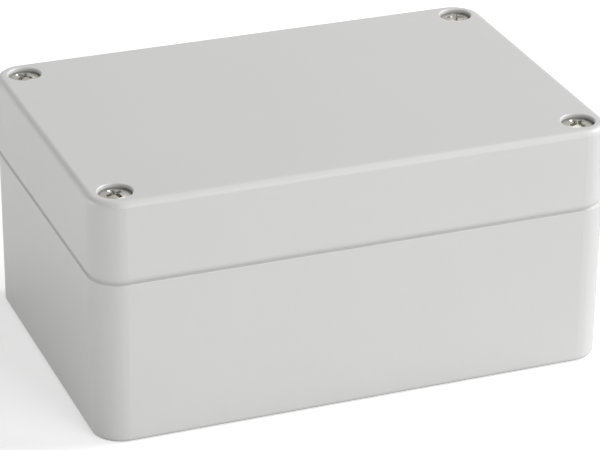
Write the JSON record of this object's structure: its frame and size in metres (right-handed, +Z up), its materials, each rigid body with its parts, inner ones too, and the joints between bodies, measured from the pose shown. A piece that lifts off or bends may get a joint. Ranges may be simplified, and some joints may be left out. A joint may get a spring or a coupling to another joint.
{
  "type": "plastic project box",
  "caption": "Rectangular sealed plastic enclosure with a lift-off lid held by captive screws in its corners, for circuit boards.",
  "frame": {"origin": "centre of the base's flat underside", "axes": "+X along the length to the right, +Y along the width to the back, +Z up through the lid"},
  "size_m": [0.12, 0.08, 0.057],
  "materials": {
    "grey_abs": "satin moulded light grey",
    "stainless_steel": "bright cold-headed",
    "nylon": "natural",
    "brass": "turned",
    "neoprene": "matt dark grey"
  },
  "bodies": {
    "base": {"base": "grey_abs", "insert_front_left": "brass", "insert_front_right": "brass", "insert_back_left": "brass", "insert_back_right": "brass"},
    "lid": {"lid": "grey_abs", "gasket": "neoprene"},
    "ring_front_left": {"ring_front_left": "nylon"},
    "screw_front_left": {"screw_front_left": "stainless_steel"},
    "ring_front_right": {"ring_front_right": "nylon"},
    "screw_front_right": {"screw_front_right": "stainless_steel"},
    "ring_back_left": {"ring_back_left": "nylon"},
    "screw_back_left": {"screw_back_left": "stainless_steel"},
    "ring_back_right": {"ring_back_right": "nylon"},
    "screw_back_right": {"screw_back_right": "stainless_steel"}
  },
  "joints": [
    {"name": "lid_lift", "type": "slide", "parent": "base", "child": "lid", "axis": [0, 0, 1], "range_m": [0, 0.06]},
    {"name": "ring_front_left_rise", "type": "slide", "parent": "lid", "child": "ring_front_left", "axis": [0, 0, 1], "range_m": [0, 0.0056]},
    {"name": "screw_front_left_turn", "type": "hinge", "parent": "ring_front_left", "child": "screw_front_left", "pos_m": [-0.0535, -0.0335, 0.057], "axis": [0, 0, 1], "range_deg": [0, 2880]},
    {"name": "ring_front_right_rise", "type": "slide", "parent": "lid", "child": "ring_front_right", "axis": [0, 0, 1], "range_m": [0, 0.0056]},
    {"name": "screw_front_right_turn", "type": "hinge", "parent": "ring_front_right", "child": "screw_front_right", "pos_m": [0.0535, -0.0335, 0.057], "axis": [0, 0, 1], "range_deg": [0, 2880]},
    {"name": "ring_back_left_rise", "type": "slide", "parent": "lid", "child": "ring_back_left", "axis": [0, 0, 1], "range_m": [0, 0.0056]},
    {"name": "screw_back_left_turn", "type": "hinge", "parent": "ring_back_left", "child": "screw_back_left", "pos_m": [-0.0535, 0.0335, 0.057], "axis": [0, 0, 1], "range_deg": [0, 2880]},
    {"name": "ring_back_right_rise", "type": "slide", "parent": "lid", "child": "ring_back_right", "axis": [0, 0, 1], "range_m": [0, 0.0056]},
    {"name": "screw_back_right_turn", "type": "hinge", "parent": "ring_back_right", "child": "screw_back_right", "pos_m": [0.0535, 0.0335, 0.057], "axis": [0, 0, 1], "range_deg": [0, 2880]}
  ],
  "couplings": [
    {"joint": "screw_front_left_turn", "follows": "ring_front_left_rise", "rad_per_m": 8976},
    {"joint": "screw_front_right_turn", "follows": "ring_front_right_rise", "rad_per_m": 8976},
    {"joint": "screw_back_left_turn", "follows": "ring_back_left_rise", "rad_per_m": 8976},
    {"joint": "screw_back_right_turn", "follows": "ring_back_right_rise", "rad_per_m": 8976}
  ]
}
